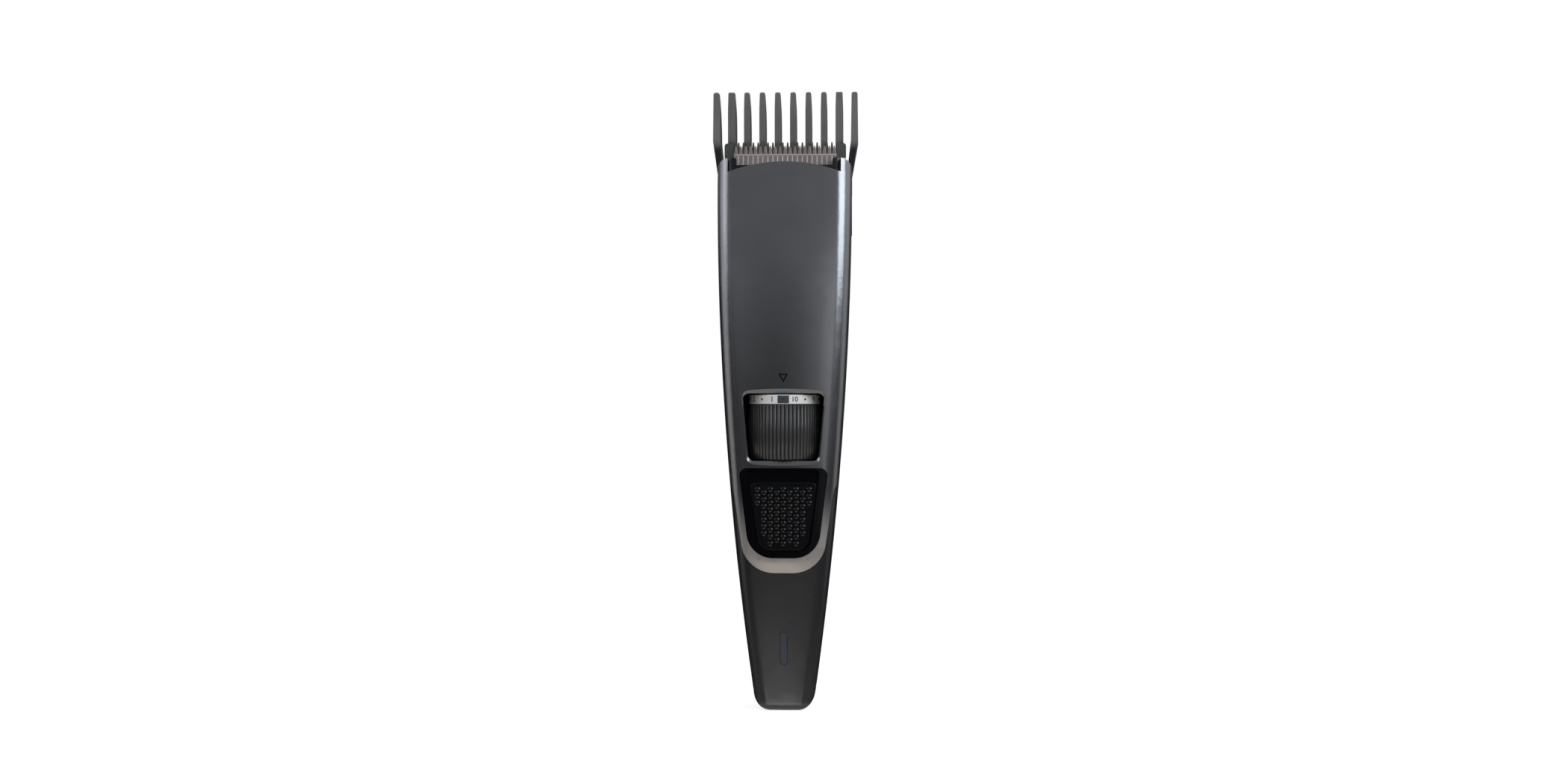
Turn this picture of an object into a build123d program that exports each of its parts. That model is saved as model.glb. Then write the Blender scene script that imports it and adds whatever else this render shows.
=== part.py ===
"""Body groomer with a lift-off guide comb, built piece by piece. All sizes are in mm.

+Z runs up the length of the body and the switch side faces -Y. The origin is the middle
of the flat foot that the body stands on.
"""
import os
from math import pi, sqrt

from build123d import *

os.makedirs("parts", exist_ok=True)

# ---- Driving sizes: the body's outside ----
body_height = 166.5  # foot to the top of the cheeks
top_half_width = 20.4  # half the width at the head
foot_half_width = 8.6  # half the width at the foot
front_depth = 13.0  # axis to the front face around the zoom wheel
head_front_depth = 7.6  # axis to the front face at the head
foot_front_depth = 8.0  # axis to the front face at the foot
back_depth = 14.0  # axis to the back at its fullest
head_back_depth = 8.5
foot_back_depth = 8.0
level_end = 85.0  # height where the front face starts to lean back to the head
fullest_back = 90.0  # height of the fullest back
wall = 1.8  # wall of both shells
foot_wall = 2.2
foot_round = 3.0  # rounding round the flat foot
foot_corner = 6.0  # larger rounding of the foot's two sides
# heights at which the outside shape is drawn, as shares of the body's height
station_shares = (0, 0.06, 0.145, 0.25, 0.37, 0.49, 0.61, 0.745, 0.88, 1.02)

# ---- Driving sizes: the wheel, the comb and the blade ----
wheel_radius = 11.0
wheel_low = 75.7
scale_height = 2.8  # bright scale ring on top of the ribbed drum
drum_height = 16.7
rib_count = 56
rib_depth = 0.35
drum_wall = 1.8
groove_depth = 0.9
groove_width = 2.6
groove_lift = 9.5  # rise of the comb over the wheel's whole turn
groove_turn = 342.0  # degrees: 19 steps of 18
pin_radius = 1.15
comb_rise = 21.2  # comb's tips over the body, with the comb right down
tine_count = 10
tine_pitch = 4.7
tine_width = 1.9
tine_tip_width = 1.62
wide_tine_width = 2.3  # the two tines beside the arms
arm_thickness = 1.4
blade_pitch = 1.5  # tooth to tooth
cutter_stroke = 0.9  # to each side
switch_travel = 3.6

# ---- Driving sizes: the power parts ----
battery_radius = 7.1
battery_length = 50.0
motor_radius = 9.8
motor_flat = 7.7  # axis to each of the motor can's two flats
motor_length = 25.0

# ---- Fits ----
shell_gap = 0.1  # seam between the two shells
piece_gap = 0.3  # loose pieces inside the body
slide_gap = 0.15  # sliding fit to each side
pack_gap = 0.15  # battery in its cradle
inner_gap = 2.1  # from the outer skin in to the loose pieces

# ---- Derived places ----
top = body_height  # the head's heights are all measured from the top of the cheeks
stations = [share * body_height for share in station_shares]
wheel_y = wheel_radius - front_depth  # wheel axis, so that the wheel is level with the cover
wheel_back = wheel_y + wheel_radius
drum_bore = wheel_radius - drum_wall
core_radius = drum_bore - 1.6  # fixed tube inside the wheel
drum_top = wheel_low + drum_height
wheel_top = drum_top + scale_height
window_low_half = wheel_radius - 0.55
window_high_half = wheel_radius + 1.3
window_low = wheel_low - piece_gap
window_top = wheel_top + 0.4
groove_low = wheel_low + 4.3
groove_radius = drum_bore + groove_depth
board_front = -6.8  # front face of the circuit board
board_back = board_front + 1.0
battery_y = board_back + 0.7 + battery_radius
battery_low = 22.0
battery_top = battery_low + battery_length
motor_y = 0.4
motor_low = top - 66.5
motor_top = motor_low + motor_length + 3.0
screw_height = motor_top + 5.0  # the two upper housing screws
switch_low = 48.8  # lower edge of the switch pad
switch_height = 20.2
switch_top = switch_low + switch_height
stem_low = 52.6
stem_top = 58.4
head_low = top - 8.2
guard_front = 0.5  # front face of the fixed blade
guard_thickness = 1.0
rear_top = top - 10.5  # top edge of the back wall behind the head
cheek_inner = top_half_width - 3.3  # half the distance between the cheeks
arm_inner = top_half_width - 1.45  # half the distance between the comb's arms
arm_outer = arm_inner + arm_thickness
arm_low = top - 22.9
comb_height = top + comb_rise
blade_half = cheek_inner - 2.0
blade_teeth = 2 * int(blade_half / blade_pitch)


# ---- The body's outside shape ----
def half_width(z):
    """Half the body's width at a height."""
    fall = max(0.0, 1 - z / body_height)
    return top_half_width - (top_half_width - foot_half_width) * fall**2


def cover_front(z):
    """Distance from the axis to the front cover's face."""
    rise = max(0.0, (z - level_end) / (body_height - level_end))
    return front_depth - (front_depth - head_front_depth) * rise**3


def handle_front(z):
    """Distance from the axis to the front of the rear housing."""
    fall = max(0.0, (level_end - z) / level_end)
    return cover_front(z) - (front_depth - foot_front_depth) * fall**2


def back(z):
    """Distance from the axis to the back."""
    if z < fullest_back:
        fall = (fullest_back - z) / fullest_back
        return back_depth - (back_depth - foot_back_depth) * fall**2.5
    rise = (z - fullest_back) / (body_height - fullest_back)
    return back_depth - (back_depth - head_back_depth) * rise**2.5


def envelope_face(z, front, inset):
    """The body's section at a height, moved inwards by inset."""
    w = half_width(z)
    front_round = 3.4 + 0.09 * w
    back_round = 3.6 + 0.12 * w
    front_crown = 0.06 * w
    back_crown = 0.10 * w
    front_radius = (w**2 + front_crown**2) / (2 * front_crown)
    back_radius = (w**2 + back_crown**2) / (2 * back_crown)
    front_centre = front_radius - front(z)
    back_centre = back(z) - back_radius
    fx = w - front_round
    fy = front_centre - sqrt((front_radius - front_round) ** 2 - fx**2)
    bx = w - back_round
    by = back_centre + sqrt((back_radius - back_round) ** 2 - bx**2)
    front_angle = (fx / (front_radius - front_round), (front_centre - fy) / (front_radius - front_round))
    back_angle = (bx / (back_radius - back_round), (by - back_centre) / (back_radius - back_round))
    fr = front_round - inset
    br = back_round - inset
    front_end = (fx + fr * front_angle[0], fy - fr * front_angle[1])
    back_end = (bx + br * back_angle[0], by + br * back_angle[1])
    front_bend = Vector(front_angle[0] + 1, -front_angle[1]).normalized()
    back_bend = Vector(back_angle[0] + 1, back_angle[1]).normalized()
    front_mid = (fx + fr * front_bend.X, fy + fr * front_bend.Y)
    back_mid = (bx + br * back_bend.X, by + br * back_bend.Y)
    side = w - inset
    with BuildSketch(Plane.XY.offset(z)) as ring:
        with BuildLine():
            ThreePointArc((-front_end[0], front_end[1]), (0, inset - front(z)), front_end)
            ThreePointArc(front_end, front_mid, (side, fy))
            Line((side, fy), (side, by))
            ThreePointArc((side, by), back_mid, back_end)
            ThreePointArc(back_end, (0, back(z) - inset), (-back_end[0], back_end[1]))
            ThreePointArc((-back_end[0], back_end[1]), (-back_mid[0], back_mid[1]), (-side, by))
            Line((-side, by), (-side, fy))
            ThreePointArc((-side, fy), (-front_mid[0], front_mid[1]), (-front_end[0], front_end[1]))
        make_face()
    return ring.sketch.face()


def envelope(front, inset, first=0):
    """A solid block of the body's outside shape, moved inwards by inset."""
    with BuildPart() as skin:
        loft([envelope_face(z, front, inset) for z in stations[first:]])
    return skin.part


# ---- Small helpers ----
def block(x, y, z, mode=Mode.ADD):
    """A box between two x, two y and two z values."""
    with Locations(((x[0] + x[1]) / 2, (y[0] + y[1]) / 2, (z[0] + z[1]) / 2)):
        Box(x[1] - x[0], y[1] - y[0], z[1] - z[0], mode=mode)


def twin_blocks(x, y, z, mode=Mode.ADD):
    """The same box on the right and on the left."""
    block(x, y, z, mode)
    block((-x[1], -x[0]), y, z, mode)


def post(x, y, z, radius, mode=Mode.ADD):
    """An upright cylinder between two z values."""
    with Locations((x, y, (z[0] + z[1]) / 2)):
        Cylinder(radius, z[1] - z[0], mode=mode)


def cross_pin(x, y, z, radius, mode=Mode.ADD):
    """A cylinder along Y between two y values."""
    with Locations((x, (y[0] + y[1]) / 2, z)):
        Cylinder(radius, y[1] - y[0], rotation=(90, 0, 0), mode=mode)


def inside(shape, *boxes):
    """What a shape has in common with a few boxes."""
    with BuildPart() as kept:
        for box in boxes:
            block(*box)
        add(shape, mode=Mode.INTERSECT)
    return kept.part


def tapered_face(depth, low, low_half, low_round, high, high_half, high_round):
    """An upright tapered outline seen from the front, at a depth in front of the axis."""
    with BuildSketch(Plane.XZ.offset(depth)) as face:
        with BuildLine():
            Polyline((-low_half, low), (low_half, low), (high_half, high), (-high_half, high), close=True)
        make_face()
        fillet(face.vertices().group_by(Axis.Y)[0], low_round)
        fillet(face.vertices().group_by(Axis.Y)[-1], high_round)
    return face.sketch


def u_face(depth, foot, foot_half, knee, knee_half, round_foot, grow):
    """The outline of the front cover's tongue, at a depth in front of the axis."""
    with BuildSketch(Plane.XZ.offset(depth)) as face:
        with BuildLine():
            Polyline(
                (-foot_half, foot),
                (foot_half, foot),
                (knee_half, knee),
                (top_half_width + 7, knee + 8.5),
                (top_half_width + 7, top + 9.5),
                (-top_half_width - 7, top + 9.5),
                (-top_half_width - 7, knee + 8.5),
                (-knee_half, knee),
                close=True,
            )
        make_face()
        fillet(face.vertices().group_by(Axis.Y)[0], round_foot)
        fillet(face.vertices().filter_by(lambda v: abs(v.Y - knee) < 0.01), 10)
        offset(amount=grow)
    return face.sketch


def tine_side():
    """Side view of a comb tine, from the base band up to the tip and back."""
    Polyline(
        (8.0, top - 10),
        (6.2, top - 10),
        (5.9, top - 3.5),
        (3.1, top + 2.9),
        (2.1, top + 6.3),
        (2.1, comb_height - 0.4),
        (2.5, comb_height),
        (3.4, comb_height),
    )
    Spline(
        (3.4, comb_height), (6.9, comb_height - 3.0), (10.2, comb_height - 8.2),
        (11.2, top + 5.5), (10.0, top - 3), (8.0, top - 10),
    )


def cover_region(grow):
    """Everything that belongs to the front cover, grown by the seam's gap."""
    with BuildPart() as region:
        loft(
            [
                u_face(13.4, 46.4, 10.2, 72.6, 14.1, 8, grow).face(),
                u_face(11.9, 41.9, 11.4, 69.2, 15.4, 10, grow).face(),
            ],
            ruled=True,
        )
        extrude(u_face(11.9, 41.9, 11.4, 69.2, 15.4, 10, grow), amount=-12)
        if grow:
            extrude(u_face(18, 41.9, 11.4, 69.2, 15.4, 10, grow), amount=-10)
        with BuildSketch(Plane.YZ.offset(-top_half_width - 9.6)):
            with BuildLine():
                seam = Spline(
                    (-9.3 + grow, 74),
                    (-8.3 + grow, 80),
                    (-6.8 + grow, 90),
                    (-4.8 + grow, top - 56.5),
                    (-3.8 + grow, top - 36.5),
                    (-3.6 + grow, top + 9.5),
                )
                Polyline(seam @ 1, (-20, top + 9.5), (-20, 30), (-9.3 + grow, 30), seam @ 0)
            make_face()
        extrude(amount=2 * (top_half_width + 9.6), mode=Mode.INTERSECT)
    return region.part


def cheek_corners():
    """What the rounded top corners of the cheeks take away."""
    with BuildPart() as corner:
        for side in (-1, 1):
            with BuildSketch(Plane.XZ.offset(12)):
                with Locations((side * top_half_width, top + 0.1)):
                    Rectangle(8, 8)
                with Locations((side * (top_half_width - 4), top - 3.9)):
                    Circle(4.2, mode=Mode.SUBTRACT)
            extrude(amount=-24)
    return corner.part


def foot_outline(inset):
    """Everything between the foot's two large side roundings, seen from the front."""
    flat = foot_half_width + 0.75 - foot_corner
    reach = foot_corner - inset
    with BuildPart() as between:
        with BuildSketch(Plane.XZ.offset(25)):
            with BuildLine():
                Line((-flat, inset), (flat, inset))
                RadiusArc((flat, inset), (flat + reach, foot_corner), -reach)
                Polyline(
                    (flat + reach, foot_corner),
                    (flat + reach + 18, foot_corner + 90),
                    (flat + reach + 18, top + 20),
                    (-flat - reach - 18, top + 20),
                    (-flat - reach - 18, foot_corner + 90),
                    (-flat - reach, foot_corner),
                )
                RadiusArc((-flat - reach, foot_corner), (-flat, inset), -reach)
            make_face()
        extrude(amount=-50)
    return between.part


cover_skin = envelope(cover_front, 0, 2)
cover_hollow = envelope(cover_front, wall, 2)
handle_skin = envelope(handle_front, 0)
mid_wall = envelope(handle_front, wall / 2)
room = envelope(handle_front, inner_gap)
over_foot = ((-40, 40), (-30, 30), (foot_wall, top + 13))
handle_hollow = inside(envelope(handle_front, wall), over_foot) & foot_outline(wall)

# walls thickened beside the comb's grooves, and the shelf behind the head
lining = inside(
    mid_wall,
    ((cheek_inner + 0.2, arm_inner + 3), (-3.4, 4.2), (top - 25.5, top + 3.5)),
    ((-arm_inner - 3, -cheek_inner - 0.2), (-3.4, 4.2), (top - 25.5, top + 3.5)),
    ((-arm_inner - 3, arm_inner + 3), (2.2, 20), (rear_top - 1.8, rear_top + 2)),
)

# ---- Front cover ----
with BuildPart() as front_cover:
    add(cover_skin)
    add(cover_hollow, mode=Mode.SUBTRACT)
    add(cover_region(0), mode=Mode.INTERSECT)
    # opening for the switch bezel
    extrude(tapered_face(20, 46.4, 10.2, 7.9, 73.3, 13.4, 2.2), amount=-10, mode=Mode.SUBTRACT)
    # wheel window with its sloping rim
    extrude(
        tapered_face(20, window_low, window_low_half, 1.8, window_top, window_high_half, 1.8),
        amount=-10,
        mode=Mode.SUBTRACT,
    )
    loft(
        [
            tapered_face(
                front_depth + 0.2, window_low - 1.7, window_low_half + 0.95, 2.6,
                window_top + 1.7, window_high_half + 1.0, 2.6,
            ).face(),
            tapered_face(
                front_depth - 1.0, window_low, window_low_half, 1.8, window_top, window_high_half, 1.8
            ).face(),
        ],
        ruled=True,
        mode=Mode.SUBTRACT,
    )
    # arched top edge between the cheeks
    with BuildSketch(Plane.XZ.offset(20)):
        with BuildLine():
            ThreePointArc((-cheek_inner, top - 4.2), (0, top - 1.1), (cheek_inner, top - 4.2))
            Polyline(
                (cheek_inner, top - 4.2),
                (cheek_inner, top + 13),
                (-cheek_inner, top + 13),
                (-cheek_inner, top - 4.2),
            )
        make_face()
    extrude(amount=-30, mode=Mode.SUBTRACT)
    block((-40, 40), (-20, 20), (top, top + 13), Mode.SUBTRACT)
    add(cheek_corners(), mode=Mode.SUBTRACT)
    # arrow mark over the window
    with BuildSketch(Plane.XZ.offset(front_depth - 0.4)):
        with BuildLine():
            Polyline((-1.45, window_top + 5.9), (1.45, window_top + 5.9), (0, window_top + 3.2), close=True)
        make_face()
        offset(amount=-0.4, kind=Kind.INTERSECTION, mode=Mode.SUBTRACT)
    extrude(amount=2, mode=Mode.SUBTRACT)

# ---- Rear housing ----
with BuildPart() as screw_bosses:
    for x in (-11.3, 11.3):
        cross_pin(x, (5.1, 20), screw_height, 2.0)
    cross_pin(0, (-0.9, 20), 16, 2.0)
    add(mid_wall, mode=Mode.INTERSECT)

with BuildPart() as rear_housing:
    add(handle_skin)
    fillet(rear_housing.edges().group_by(Axis.Z)[0], foot_round)
    add(foot_outline(0), mode=Mode.INTERSECT)
    add(handle_hollow, mode=Mode.SUBTRACT)
    add(lining)
    add(cover_region(shell_gap), mode=Mode.SUBTRACT)
    block((-40, 40), (-20, 20), (top, top + 13), Mode.SUBTRACT)
    block((-40, 40), (2.4, 20), (rear_top, top + 13), Mode.SUBTRACT)
    block((-cheek_inner, cheek_inner), (-20, 20), (rear_top, top + 13), Mode.SUBTRACT)
    add(cheek_corners(), mode=Mode.SUBTRACT)
    # grooves for the comb's arms, and the slits that the carriage's lugs run in
    twin_blocks((arm_inner - slide_gap, arm_outer + 4), (-3.0, 2.4), (arm_low - 0.6, top + 13), Mode.SUBTRACT)
    twin_blocks(
        (cheek_inner - 1.1, arm_outer),
        (-1.4 - slide_gap, 0.8 + slide_gap),
        (top - 21.8, top - 9),
        Mode.SUBTRACT,
    )
    # charge port, charge light slit
    block((-4.0, 4.0), (-1.65, 1.65), (-1, foot_wall + 0.5), Mode.SUBTRACT)
    extrude(tapered_face(20, 14.1, 1.1, 1.0, 24.2, 1.1, 1.0), amount=-14, mode=Mode.SUBTRACT)
    # screw bosses on the back wall
    add(screw_bosses.part)
    for x in (-11.3, 11.3):
        cross_pin(x, (5.0, 9.0), screw_height, 0.85, Mode.SUBTRACT)
    cross_pin(0, (-1.0, 5.0), 16, 0.85, Mode.SUBTRACT)

# ---- Switch bezel: the dark panel that the switch runs in ----
with BuildPart() as bezel_flange:
    extrude(tapered_face(11.05, 45.7, 10.6, 8.3, 73.6, 13.6, 2.1), amount=-0.85)
    add(envelope(cover_front, wall + 0.15, 2), mode=Mode.INTERSECT)

with BuildPart() as switch_bezel:
    extrude(tapered_face(20, 46.5, 10.1, 7.8, 73.2, 13.3, 2.1), amount=-9.8)
    add(envelope(cover_front, 0.15, 2), mode=Mode.INTERSECT)
    add(bezel_flange.part)
    # pocket round the switch pad, and the slot for its stem
    extrude(
        tapered_face(20, switch_low - 0.7, 7.9, 4.6, switch_top + switch_travel + 0.3, 11.0, 1.4),
        amount=-9.0,
        mode=Mode.SUBTRACT,
    )
    block((-1.6, 1.6), (-13, -9), (stem_low - 0.6, stem_top + switch_travel + 0.6), Mode.SUBTRACT)
    # short on mark over the pad
    block((-0.15, 0.15), (-11.1, -10.8), (switch_top + 1.4, switch_top + 2.6), Mode.SUBTRACT)

# ---- Switch pad, its retainer and the switch's own knob ----
with BuildPart() as slider_button:
    extrude(tapered_face(12.65, switch_low, 7.25, 4.0, switch_top, 10.1, 1.5), amount=-1.5)
    fillet(slider_button.faces().sort_by(Axis.Y)[0].outer_wire().edges(), 0.2)
    # the pad's face lies inside a raised rim
    extrude(
        tapered_face(12.8, switch_low + 0.5, 6.8, 3.5, switch_top - 0.5, 9.6, 1.0),
        amount=-0.4,
        mode=Mode.SUBTRACT,
    )
    # domed bumps in staggered rows
    for row in range(9):
        z = switch_low + 1.9 + row * 2.03
        half = 7.25 + (10.1 - 7.25) * (z - switch_low) / switch_height - 1.25
        for column in range(-4, 5):
            x = column * 1.93
            lift = 1.03 if column % 2 else 0
            corner = z + lift < switch_low + 3.4 and abs(x) > half - 1.4
            if abs(x) < half and not corner and z + lift < switch_top - 1.2:
                with Locations((x, -12.2, z + lift)):
                    Sphere(0.7)
    block((-1.3, 1.3), (-11.3, -9.6), (stem_low, stem_top))

with BuildPart() as slider_retainer:
    block((-3.4, 3.4), (-10.0, -9.2), (stem_low - 1.6, stem_top + 1.6))
    block((-1.3, 1.3), (-10.5, -9.6), (stem_low, stem_top), Mode.SUBTRACT)
    block((-1.0, 1.0), (-9.3, -8.5), (53.4, 54.7))
    block((-1.0, 1.0), (-9.3, -8.5), (57.3, 58.6))

with BuildPart() as switch_knob:
    block((-0.8, 0.8), (-9.1, -7.9), (54.9, 57.1))

# ---- Chassis: carries the battery, the wheel's core and the motor ----
cradle_half = battery_radius + 1.9
core_floor = wheel_low - piece_gap
plate_low = wheel_top + piece_gap
with BuildPart() as chassis:
    # battery cradle
    block((-cradle_half, cradle_half), (-4.8, 6.0), (20.0, core_floor - 1.4))
    post(0, battery_y, (21.6, battery_top + 0.4), battery_radius + pack_gap, Mode.SUBTRACT)
    block((-4.5, 4.5), (-5, 7), (battery_top, battery_top + 4), Mode.SUBTRACT)
    twin_blocks((4.6, 5.4), (board_back, -4.0), (24, 26))
    twin_blocks((4.6, 5.4), (board_back, -4.0), (68, 70))
    # tab for the lower screw
    block((-3.0, 3.0), (-3.0, -1.0), (12.5, 20.5))
    cross_pin(0, (-4, 0), 16, 1.15, Mode.SUBTRACT)
    # floor under the wheel, its core tube and the step that centres the drum
    post(0, wheel_y, (core_floor - 1.5, core_floor), wheel_radius - 0.6)
    block((-3.0, 3.0), (wheel_back - 4.0, wheel_back + 2.2), (core_floor - 1.5, core_floor))
    block((-3.0, 3.0), (wheel_back + 0.8, wheel_back + 2.2), (core_floor - 7.4, core_floor - 0.4))
    post(0, wheel_y, (core_floor - 0.1, wheel_low + 1.0), drum_bore - 0.1)
    post(0, wheel_y, (core_floor - 0.4, plate_low + 1.5), core_radius)
    # plate over the wheel, motor cradle with its two rails
    block((-12.4, 12.4), (2.2, 8.2), (plate_low, plate_low + 1.5))
    post(0, wheel_y, (plate_low, plate_low + 1.5), core_radius + 0.2)
    twin_blocks((10.2, 12.4), (2.4, 8.0), (plate_low, screw_height + 3))
    block((-12.4, 12.4), (2.4, 8.0), (motor_top + 0.3, motor_top + 2.0))
    post(0, motor_y, (motor_top + 0.3, motor_top + 2.0), 6.0)
    post(0, motor_y, (motor_low, screw_height + 7), 3.3, Mode.SUBTRACT)
    post(0, wheel_y, (core_floor - 2.4, plate_low + 2.5), core_radius - 1.6, Mode.SUBTRACT)
    spring_seat = (wheel_back + 0.3, wheel_back + 0.8)
    block((-1.6, 1.6), spring_seat, (core_floor - 8, core_floor + 0.6), Mode.SUBTRACT)
    for x in (-11.3, 11.3):
        block((x - 1.2, x + 1.2), (5.0, 9), (screw_height - 2.4, screw_height + 4), Mode.SUBTRACT)
        cross_pin(x, (0, 6), screw_height, 0.95, Mode.SUBTRACT)
    add(room, mode=Mode.INTERSECT)

# ---- Screws that hold the chassis in the rear housing ----
with BuildPart() as housing_screws:
    for x in (-11.3, 11.3):
        cross_pin(x, (2.4, 8.8), screw_height, 0.85)
        cross_pin(x, (1.2, 2.4), screw_height, 1.7)
        cross_pin(x, (1.1, 1.6), screw_height, 0.6, Mode.SUBTRACT)
    cross_pin(0, (-3.0, 4.8), 16, 0.85)
    cross_pin(0, (-4.2, -3.0), 16, 1.7)
    cross_pin(0, (-4.3, -3.8), 16, 0.6, Mode.SUBTRACT)

# ---- Battery and its two welded tabs ----
with BuildPart() as battery_cell:
    post(0, battery_y, (battery_low, battery_top - 0.8), battery_radius)
    fillet(battery_cell.edges().filter_by(GeomType.CIRCLE), 0.6)
    post(0, battery_y, (battery_top - 1.0, battery_top), 2.6)

with BuildPart() as battery_tabs:
    block((-1.5, 1.5), (board_back, 4.0), (battery_top, battery_top + 0.2))
    block((-1.5, 1.5), (board_back, board_back + 0.2), (battery_top - 3, battery_top + 0.2))
    block((-1.5, 1.5), (board_back, 4.0), (battery_low - 0.2, battery_low))
    block((-1.5, 1.5), (board_back, board_back + 0.2), (battery_low - 0.2, battery_low + 3))

# ---- Circuit board and what is soldered to it ----
with BuildPart() as circuit_board:
    block((-5.5, 5.5), (board_front, board_back), (10.0, battery_top + 0.6))
    add(room, mode=Mode.INTERSECT)

with BuildPart() as slide_switch_body:
    block((-3.2, 3.2), (-8.2, board_front), (50.5, 65.0))
    block((-1.0, 1.0), (-8.4, -7.6), (54.2, 61.4), Mode.SUBTRACT)

with BuildPart() as board_chips:
    block((-2.5, 2.5), (-7.9, board_front), (27.0, 32.0))
    block((-3.6, -1.2), (-7.6, board_front), (36.0, 38.4))
    block((1.0, 3.6), (-7.7, board_front), (35.0, 39.0))
    for i in range(4):
        block((-4.4, -3.6), (-7.3, board_front), (42.0 + i * 1.6, 42.8 + i * 1.6))
    post(2.2, -8.1, (42.0, 48.0), 1.3)

with BuildPart() as charge_led:
    block((-1.0, 1.0), (-7.5, board_front), (18.4, 20.0))

with BuildPart() as charge_lens:
    extrude(tapered_face(20, 14.2, 1.0, 0.9, 24.1, 1.0, 0.9), amount=-12.2)
    add(envelope(handle_front, 0.12), mode=Mode.INTERSECT)

with BuildPart() as inlet_board:
    block((-6.0, 6.0), (-4.0, 4.0), (6.2, 7.0))

with BuildPart() as usb_socket:
    block((-3.75, 3.75), (-1.4, 1.4), (0.9, 6.2))
    block((-3.45, 3.45), (-1.1, 1.1), (0.5, 5.4), Mode.SUBTRACT)
    block((-2.6, 2.6), (-0.3, 0.3), (1.8, 5.6))

with BuildPart() as inlet_leads:
    for x in (-2.0, 2.0):
        with BuildLine():
            FilletPolyline((x, -2.6, 7.0), (x, -2.6, 9.5), (x, -5.0, 11.5), (x, -5.4, 13.0), radius=0.8)
        with BuildSketch(Plane(origin=(x, -2.6, 7.0), z_dir=(0, 0, 1))):
            Circle(0.35)
        sweep()

# ---- Motor ----
with BuildPart() as motor_can:
    post(0, motor_y, (motor_low + 2.5, motor_top - 1.5), motor_radius)
    block((-motor_flat, motor_flat), (-20, 20), (motor_low, motor_top), Mode.INTERSECT)
    post(0, motor_y, (motor_top - 1.6, motor_top), 3.0)
    post(0, motor_y, (motor_low, motor_top + 1), 1.9, Mode.SUBTRACT)

with BuildPart() as motor_end_cap:
    post(0, motor_y, (motor_low, motor_low + 2.5), motor_radius - 0.3)
    block((-motor_flat + 0.2, motor_flat - 0.2), (-20, 20), (motor_low, motor_top), Mode.INTERSECT)
    post(0, motor_y, (motor_low - 1, motor_low + 3), 1.2, Mode.SUBTRACT)
    for x in (-4.5, 4.5):
        block((x - 0.2, x + 0.2), (-3.6, -1.2), (motor_low - 2.0, motor_low + 0.1))

with BuildPart() as motor_bushing:
    post(0, motor_y, (motor_top - 1.4, motor_top), 1.9)
    post(0, motor_y, (motor_top - 1.5, motor_top + 0.1), 1.03, Mode.SUBTRACT)

with BuildPart() as motor_leads:
    for x in (-4.5, 4.5):
        side = 1 if x > 0 else -1
        start = (x - side * 0.7, -3.0, motor_low - 0.6)
        with BuildLine():
            FilletPolyline(
                start,
                (x - side * 0.7, -3.0, motor_low - 6.0),
                (side * 2.4, -3.0, motor_low - 10.0),
                (side * 2.4, -3.0, wheel_low - 0.2),
                (side * 2.4, board_back + 0.5, wheel_low - 2.3),
                (side * 2.4, board_back + 0.5, wheel_low - 6.7),
                radius=1.2,
            )
        with BuildSketch(Plane(origin=start, z_dir=(0, 0, -1))):
            Circle(0.5)
        sweep()

with BuildPart() as motor_shaft:
    post(0, motor_y, (motor_low + 0.6, screw_height + 3), 1.0)

with BuildPart() as eccentric_cam:
    post(0, motor_y, (screw_height - 2, screw_height + 4), 3.0)
    post(0, motor_y, (screw_height - 2.1, screw_height + 3), 1.0, Mode.SUBTRACT)
    post(cutter_stroke, motor_y, (screw_height + 3.9, screw_height + 10), 0.75)

# ---- Zoom wheel ----
with BuildPart() as wheel_drum:
    post(0, wheel_y, (wheel_low, drum_top), wheel_radius - rib_depth)
    post(0, wheel_y, (wheel_low, wheel_top), wheel_radius - 1.05)
    post(0, wheel_y, (wheel_low - 1, wheel_top + 1), drum_bore, Mode.SUBTRACT)
    with Locations((0, wheel_y, wheel_low)):
        with PolarLocations(wheel_radius - rib_depth, rib_count):
            Box(
                2 * rib_depth,
                pi * wheel_radius / rib_count,
                drum_height,
                align=(Align.CENTER, Align.CENTER, Align.MIN),
            )
    # cam groove inside, one end ring for each end of its run
    with BuildLine():
        run = Helix(
            pitch=groove_lift * 360 / groove_turn,
            height=groove_lift,
            radius=drum_bore + groove_depth / 2 - 0.2,
            center=(0, wheel_y, groove_low),
            lefthand=True,
        )
    with BuildSketch(Plane(origin=run @ 0, x_dir=(1, 0, 0), z_dir=run % 0)):
        Rectangle(groove_depth + 0.4, groove_width)
    sweep(path=run, is_frenet=True, mode=Mode.SUBTRACT)
    for turn in (0, groove_turn):
        with Locations(Location((0, wheel_y, groove_low + groove_lift * turn / groove_turn), (0, 0, -turn))):
            with Locations((groove_radius - 0.75, 0, 0)):
                Cylinder(groove_width / 2, 1.5, rotation=(0, 90, 0), mode=Mode.SUBTRACT)

with BuildPart() as wheel_scale_ring:
    post(0, wheel_y, (drum_top, wheel_top), wheel_radius)
    post(0, wheel_y, (drum_top - 1, wheel_top + 1), wheel_radius - 1.02, Mode.SUBTRACT)
    chamfer(wheel_scale_ring.edges().group_by(Axis.Z)[-1].sort_by(SortBy.RADIUS)[-1], 0.2)

with BuildPart() as detent_spring:
    block((-1.4, 1.4), (wheel_back + 0.5, wheel_back + 0.8), (wheel_low - 7.2, wheel_low + 10.3))
    with Locations((0, wheel_back + 0.45, wheel_low + 8.8)):
        Cylinder(0.32, 2.8, rotation=(0, 90, 0))

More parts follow.
